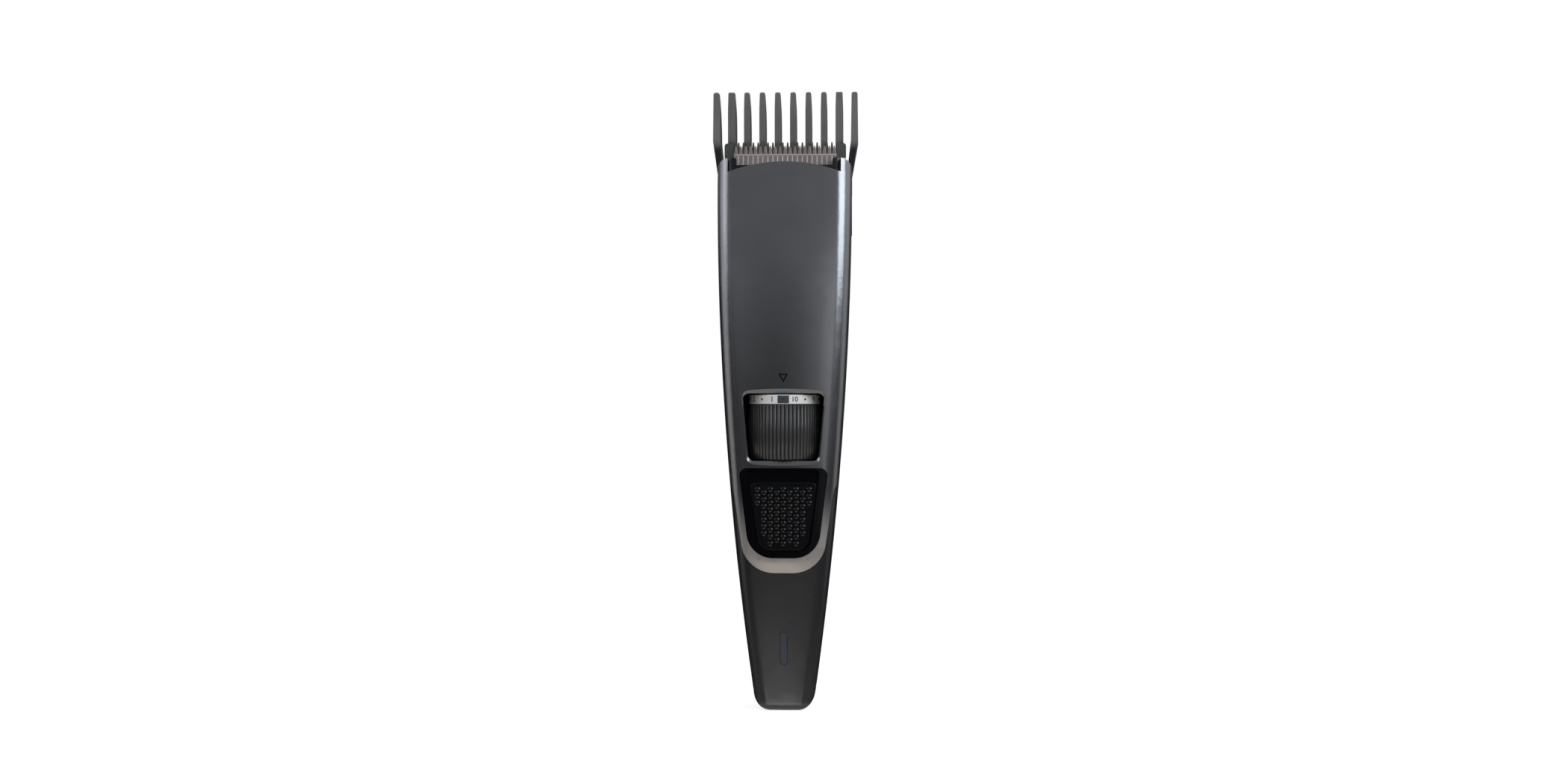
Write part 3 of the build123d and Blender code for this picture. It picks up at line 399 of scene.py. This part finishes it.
inside_finishes = {
    "chassis": inner_black,
    "housing_screws": steel,
    "battery_cell": cell_wrap,
    "battery_tabs": steel,
    "circuit_board": board_mask,
    "slide_switch_body": steel,
    "board_chips": chip_resin,
    "charge_led": natural_resin,
    "inlet_board": board_mask,
    "usb_socket": steel,
    "inlet_leads": lead_red,
    "motor_can": steel,
    "motor_end_cap": natural_resin,
    "motor_bushing": sintered,
    "motor_leads": lead_red,
    "motor_shaft": steel,
    "eccentric_cam": natural_resin,
    "detent_spring": steel,
    "comb_carriage": inner_black,
    "cam_pin": steel,
    "slider_retainer": natural_resin,
    "switch_knob": natural_resin,
    "blade_spring": steel,
    "drive_bridge": natural_resin,
}
for node, finish in inside_finishes.items():
    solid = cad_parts[node]
    solid.data.materials.clear()
    solid.data.materials.append(finish)
print("inside pieces finished:", len(inside_finishes))

# %% [markdown]
# ## Shells, bezel and comb
# The solid model already has the true shape of these pieces, but as loose triangles with
# knife-sharp edges. Each is copied, its triangles are welded and it is shaded smooth; the comb,
# the head frame and the two blades also get the small round that moulding leaves.

# %% Copy, weld and soften a solid
WELD_DISTANCE = 0.002 * MM
FLAT_ANGLE = math.radians(0.4)


def dress(node, body, finish, angle=32.0, soften=0.0):
    """Show a welded copy of a node, its edges rounded by soften mm, with its finish."""
    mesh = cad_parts[node].data.copy()
    if "custom_normal" in mesh.attributes:
        mesh.attributes.remove(mesh.attributes["custom_normal"])
    piece = bpy.data.objects.new("shown_" + node, mesh)
    scene.collection.objects.link(piece)
    bm = bmesh.new()
    bm.from_mesh(mesh)
    bmesh.ops.remove_doubles(bm, verts=bm.verts, dist=WELD_DISTANCE)
    if soften:
        bmesh.ops.dissolve_limit(bm, angle_limit=FLAT_ANGLE, verts=bm.verts, edges=bm.edges)
    bm.to_mesh(mesh)
    bm.free()
    mesh.shade_smooth()
    mesh.set_sharp_from_angle(angle=math.radians(angle))
    mesh.materials.clear()
    mesh.materials.append(finish)
    if soften:
        rounding = piece.modifiers.new("moulded_edges", "BEVEL")
        rounding.width = soften * MM
        rounding.segments = 2
        rounding.limit_method = "ANGLE"
        rounding.angle_limit = math.radians(angle)
    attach(piece, body)
    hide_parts(node)
    print(piece.name, len(mesh.polygons), "faces")
    return piece


dress("front_cover", "housing", metallic_coat_with_painted_reflection)
dress("rear_housing", "housing", charcoal_shell)
dress("switch_bezel", "housing", bezel_black)
dress("charge_lens", "housing", lens_smoke)
dress("slider_button", "switch", pad_rubber, angle=40)
dress("guide_comb", "comb", comb_plastic_with_painted_shade, angle=40, soften=0.22)
dress("head_frame", "cutting_head", frame_black, angle=40, soften=0.15)
dress("guard_blade", "cutting_head", ground_dark, angle=40, soften=0.05)
dress("guard_screws", "cutting_head", steel, angle=40)
dress("moving_cutter", "cutter", ground_warm, angle=40, soften=0.04)

# %% [markdown]
# ## Zoom wheel
# The wheel is a black drum with upright grip ribs. A ring of points that steps in and out
# gives the ribs in one go: it is pulled up to the drum's height, pinched in at both ends and
# closed down to the bore.

# %% Ribbed drum
drum_low, drum_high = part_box("wheel_drum")
ring_low, ring_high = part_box("wheel_scale_ring")
WHEEL_RADIUS = (ring_high.x - ring_low.x) / 2
WHEEL_CENTRE = Vector(((ring_low.x + ring_high.x) / 2, (ring_low.y + ring_high.y) / 2, 0.0))
RIBS = 56
RIB_SHAPE = (0.0, 0.35, 0.85, 1.0, 1.0, 1.0, 0.85, 0.35)
RIB_TURN = math.radians(1.9)
RIB_DEPTH = 0.50 * MM
BORE_RADIUS = 9.2 * MM


def radial_scale(bm, verts, change):
    """Move points towards or away from the wheel's axis by a length."""
    for v in verts:
        reach = v.co.xy.length
        v.co.xy = v.co.xy * ((reach + change) / reach)


def finish_piece(bm, name, body, finish, angle=35.0, doubles=0.001):
    """Weld a built shape, turn its faces outwards and show it."""
    bmesh.ops.remove_doubles(bm, verts=bm.verts, dist=doubles * MM)
    bmesh.ops.recalc_face_normals(bm, faces=bm.faces)
    mesh = bpy.data.meshes.new(name)
    bm.to_mesh(mesh)
    bm.free()
    mesh.shade_smooth()
    mesh.set_sharp_from_angle(angle=math.radians(angle))
    mesh.materials.append(finish)
    piece = bpy.data.objects.new(name, mesh)
    scene.collection.objects.link(piece)
    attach(piece, body)
    print(name, len(mesh.polygons), "faces")
    return piece


bm = bmesh.new()
bmesh.ops.create_circle(bm, segments=RIBS * len(RIB_SHAPE), radius=WHEEL_RADIUS)
for i, v in enumerate(bm.verts):
    reach = WHEEL_RADIUS - RIB_DEPTH * (1 - RIB_SHAPE[i % len(RIB_SHAPE)])
    v.co.xy = v.co.xy.normalized() * reach
    v.co.z = drum_low.z
bmesh.ops.rotate(bm, verts=bm.verts, cent=(0, 0, 0), matrix=Matrix.Rotation(RIB_TURN, 3, "Z"))
bottom_edges = list(bm.edges)
DRUM_TOP = ring_low.z
steps = (
    (drum_low.z, -0.45 * MM),
    (drum_low.z + 0.35 * MM, 0.45 * MM),
    (DRUM_TOP - 0.30 * MM, 0.0),
    (DRUM_TOP, -0.40 * MM),
)
radial_scale(bm, bm.verts, steps[0][1])
edges = bottom_edges
for height, change in steps[1:]:
    grown = bmesh.ops.extrude_edge_only(bm, edges=edges)["geom"]
    fresh = [g for g in grown if isinstance(g, bmesh.types.BMVert)]
    edges = [g for g in grown if isinstance(g, bmesh.types.BMEdge)]
    for v in fresh:
        v.co.z = height
    radial_scale(bm, fresh, change)
rims = []
for start_edges in (edges, bottom_edges):
    grown = bmesh.ops.extrude_edge_only(bm, edges=start_edges)["geom"]
    for v in [g for g in grown if isinstance(g, bmesh.types.BMVert)]:
        v.co.xy = v.co.xy.normalized() * BORE_RADIUS
    rims += [g for g in grown if isinstance(g, bmesh.types.BMEdge)]
bmesh.ops.bridge_loops(bm, edges=rims)
bmesh.ops.translate(bm, verts=bm.verts, vec=WHEEL_CENTRE)
zoom_drum = finish_piece(bm, "zoom_drum", "zoom_wheel", grip_black, angle=60)
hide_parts("wheel_drum")

# %% [markdown]
# The scale ring is turned: its section is a small rectangle with broken corners, spun once
# round the wheel's axis.

# %% Scale ring
RING_BORE = 9.25 * MM
RING_EDGE = 0.18 * MM
ring_section = (
    (RING_BORE, ring_low.z),
    (WHEEL_RADIUS - RING_EDGE, ring_low.z),
    (WHEEL_RADIUS, ring_low.z + RING_EDGE),
    (WHEEL_RADIUS, ring_high.z - RING_EDGE),
    (WHEEL_RADIUS - RING_EDGE, ring_high.z),
    (RING_BORE, ring_high.z),
)
bm = bmesh.new()
corners = [bm.verts.new((reach, 0.0, height)) for reach, height in ring_section]
profile = [bm.edges.new((corners[i - 1], corners[i])) for i in range(len(corners))]
bmesh.ops.spin(bm, geom=corners + profile, cent=(0, 0, 0), axis=(0, 0, 1),
               angle=2 * math.pi, steps=192, use_merge=True)
bmesh.ops.translate(bm, verts=bm.verts, vec=WHEEL_CENTRE)
scale_ring = finish_piece(bm, "scale_ring", "zoom_wheel", ring_silver, angle=25)
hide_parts("wheel_scale_ring")

# %% [markdown]
# The scale is printed round the ring: the lengths 1 to 10 with a dot for each half between
# them, twenty places in all. Numbers are set as text, made a mesh, and wrapped round the ring
# so that they stand only a hair's breadth off it. The shortest length sits in front, on a
# grey field of its own.

# %% Wrap flat marks round the ring
STEP_ANGLE = math.radians(18.0)
MARK_HEIGHT = (ring_low.z + ring_high.z) / 2
PRINT_THICKNESS = 0.02 * MM
SCALE_PLACES = 20
NUMBER_SIZE = 2.1 * MM
NUMBER_BOLDNESS = 0.035 * MM
DOT_RADIUS = 0.34 * MM
LONGEST_FLAT = 0.5 * MM


def wrap_round_wheel(bm, turn, lift):
    """Wrap a flat shape, lying in X and Y, round the ring at a turn from its front."""
    for v in bm.verts:
        along, up, out = v.co
        angle = -math.pi / 2 + turn + along / WHEEL_RADIUS
        reach = WHEEL_RADIUS + lift + out
        v.co = (reach * math.cos(angle), reach * math.sin(angle), MARK_HEIGHT + up)


def number_mesh(text):
    """A number as a flat mesh centred on its place, 1.5 mm tall."""
    curve = bpy.data.curves.new("number", "FONT")
    curve.body = text
    curve.align_x, curve.align_y = "CENTER", "CENTER"
    curve.size = NUMBER_SIZE
    curve.offset = NUMBER_BOLDNESS
    holder = bpy.data.objects.new("number", curve)
    scene.collection.objects.link(holder)
    bpy.context.view_layer.update()
    flat = bpy.data.meshes.new_from_object(holder)
    bpy.data.objects.remove(holder)
    bpy.data.curves.remove(curve)
    return flat


print_bm = bmesh.new()
for place_number in range(SCALE_PLACES):
    mark = bmesh.new()
    if place_number % 2:
        flat = number_mesh(str((place_number + 1) // 2))
        mark.from_mesh(flat)
        bpy.data.meshes.remove(flat)
        bmesh.ops.triangulate(mark, faces=mark.faces)
        long_edges = [e for e in mark.edges if e.calc_length() > LONGEST_FLAT]
        bmesh.ops.subdivide_edges(mark, edges=long_edges, cuts=1, use_grid_fill=True)
    else:
        bmesh.ops.create_circle(mark, cap_ends=True, segments=20, radius=DOT_RADIUS)
    bmesh.ops.translate(mark, verts=mark.verts, vec=(0, 0, PRINT_THICKNESS))
    grown = bmesh.ops.extrude_face_region(mark, geom=mark.faces)["geom"]
    fresh = [g for g in grown if isinstance(g, bmesh.types.BMVert)]
    bmesh.ops.translate(mark, verts=fresh, vec=(0, 0, -2.0 * PRINT_THICKNESS))
    lift = 1.6 * PRINT_THICKNESS if place_number == 0 else 0.2 * PRINT_THICKNESS
    wrap_round_wheel(mark, -STEP_ANGLE * place_number, lift)
    flat = bpy.data.meshes.new("mark")
    mark.to_mesh(flat)
    mark.free()
    print_bm.from_mesh(flat)
    bpy.data.meshes.remove(flat)
bmesh.ops.translate(print_bm, verts=print_bm.verts, vec=WHEEL_CENTRE)
finish_piece(print_bm, "scale_marks", "zoom_wheel", print_black, doubles=0.0001)

# %% Grey field behind the shortest length
FIELD_HALF_WIDTH, FIELD_HALF_HEIGHT = 1.72 * MM, 1.18 * MM
bm = bmesh.new()
bmesh.ops.create_grid(bm, x_segments=12, y_segments=1, size=1.0)
bmesh.ops.scale(bm, verts=bm.verts, vec=(FIELD_HALF_WIDTH, FIELD_HALF_HEIGHT, 1.0))
grown = bmesh.ops.extrude_face_region(bm, geom=bm.faces)["geom"]
fresh = [g for g in grown if isinstance(g, bmesh.types.BMVert)]
bmesh.ops.translate(bm, verts=fresh, vec=(0, 0, 1.5 * PRINT_THICKNESS))
wrap_round_wheel(bm, 0.0, 0.0)
bmesh.ops.translate(bm, verts=bm.verts, vec=WHEEL_CENTRE)
finish_piece(bm, "shortest_length_field", "zoom_wheel", marker_grey)

# %% [markdown]
# ## Painted highlights on the moving blade
# Below each gap between the teeth, and once across their roots, the ground faces catch a bright
# line of light. It is painted as thin near-white lands that stand just proud of the blade's face.

# %% Painted highlight lands on the moving blade
cutter_low, cutter_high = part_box("moving_cutter")
TOOTH_PITCH = 1.5 * MM
TOOTH_COUNT = 20
LAND_WIDTH = 0.26 * MM
LAND_PROUD = 0.03 * MM
LAND_TOP = 167.9 * MM
LAND_LOW_MIDDLE, LAND_LOW_SIDE = 163.2 * MM, 165.2 * MM
SIDE_STARTS = 13.5 * MM
ROOT_LINE = (30.8 * MM, 0.22 * MM, 168.25 * MM)


def land(bm, x, z, width, height, y):
    """A thin plate on a face that looks to the front."""
    made = bmesh.ops.create_cube(bm, size=1.0)["verts"]
    bmesh.ops.scale(bm, verts=made, vec=(width, 2 * LAND_PROUD, height))
    bmesh.ops.translate(bm, verts=made, vec=(x, y, z))


bm = bmesh.new()
for i in range(TOOTH_COUNT):
    x = (i - (TOOTH_COUNT - 1) / 2) * TOOTH_PITCH
    reach_down = LAND_LOW_MIDDLE if abs(x) < SIDE_STARTS else LAND_LOW_SIDE
    land(bm, x, (reach_down + LAND_TOP) / 2, LAND_WIDTH, LAND_TOP - reach_down, cutter_low.y)
root_width, root_height, root_place = ROOT_LINE
land(bm, 0.0, root_place, root_width, root_height, cutter_low.y)
# These lands carry the painted highlight of the ground faces.
finish_piece(bm, "painted_highlight_lands", "cutter", painted_highlight_white, doubles=0.0)

# %% [markdown]
# ## Bumps on the pad
# Close rows of low domes give the thumb its grip. Every second column sits half a step higher.
# Each dome is a squashed ball sunk half way into the pad, a little wider than the solid model's,
# so that its upper side catches a crescent of light.

# %% Domes in staggered rows
pad_low, pad_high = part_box("slider_button")
PAD_FACE = pad_low.y + 0.5 * MM
COLUMN_STEP, ROW_STEP = 1.93 * MM, 2.03 * MM
DOME_REACH, DOME_RISE = 0.96 * MM, 0.56 * MM
PAD_HEIGHT = 20.2 * MM
ROWS, COLUMNS_PER_SIDE = 9, 4
ROW_FLOOR, ODD_COLUMN_LIFT = 1.9 * MM, 1.03 * MM
LOW_HALF, HALF_GAIN = 6.0 * MM, 2.85 * MM
CORNER_HEIGHT, CORNER_WIDTH, TOP_EDGE = 3.4 * MM, 1.4 * MM, 1.2 * MM
pad_floor = pad_high.z - PAD_HEIGHT
bm = bmesh.new()
for row in range(ROWS):
    row_height = pad_floor + ROW_FLOOR + row * ROW_STEP
    half = LOW_HALF + HALF_GAIN * (row_height - pad_floor) / PAD_HEIGHT
    for column in range(-COLUMNS_PER_SIDE, COLUMNS_PER_SIDE + 1):
        x = column * COLUMN_STEP
        z = row_height + (ODD_COLUMN_LIFT if column % 2 else 0.0)
        in_corner = z < pad_floor + CORNER_HEIGHT and abs(x) > half - CORNER_WIDTH
        if abs(x) >= half or in_corner or z >= pad_high.z - TOP_EDGE:
            continue
        dome = bmesh.ops.create_uvsphere(bm, u_segments=20, v_segments=12, radius=1.0)["verts"]
        bmesh.ops.scale(bm, verts=dome, vec=(DOME_REACH, DOME_RISE, DOME_REACH))
        bmesh.ops.translate(bm, verts=dome, vec=(x, PAD_FACE, z))
finish_piece(bm, "pad_domes", "switch", bump_rubber, angle=60, doubles=0.0001)

# %% [markdown]
# ## Arrow over the wheel
# The arrow is cut as a thin outline. Its bottom is painted near black, painted shade of the groove, so
# that it reads against the satin cover from any side.

# %% Painted shade in the arrow's outline
cover = bpy.data.objects["shown_front_cover"]
cover_point = cover.ray_cast(Vector((0.0, -0.1, 97.5 * MM)), Vector((0.0, 1.0, 0.0)))[1]
ARROW_TOP, ARROW_TIP, ARROW_HALF = 101.5 * MM, 98.8 * MM, 1.45 * MM
SHADE_WIDTH, SHADE_SUNK, SHADE_DEPTH = 0.42 * MM, 0.04 * MM, 0.2 * MM
EDGE_CLEARANCE = 0.02 * MM
corners = ((-ARROW_HALF, ARROW_TOP), (0.0, ARROW_TIP), (ARROW_HALF, ARROW_TOP))
bm = bmesh.new()
triangle = bm.faces.new([bm.verts.new((x, cover_point.y + SHADE_SUNK, z)) for x, z in corners])
bm.normal_update()
clearance, outline = [
    bmesh.ops.inset_individual(bm, faces=[triangle], thickness=width, use_even_offset=True)["faces"]
    for width in (EDGE_CLEARANCE, SHADE_WIDTH - EDGE_CLEARANCE)
]
bmesh.ops.delete(bm, geom=clearance + [triangle], context="FACES")
grown = bmesh.ops.extrude_face_region(bm, geom=outline)["geom"]
fresh = [g for g in grown if isinstance(g, bmesh.types.BMVert)]
bmesh.ops.translate(bm, verts=fresh, vec=(0, SHADE_DEPTH, 0))
# The near-black outline is painted shade on the groove's floor.
finish_piece(bm, "arrow_painted_shade", "housing", arrow_black, angle=30, doubles=0.0001)
print("arrow lies on the cover at y mm:", round(cover_point.y / MM, 2))
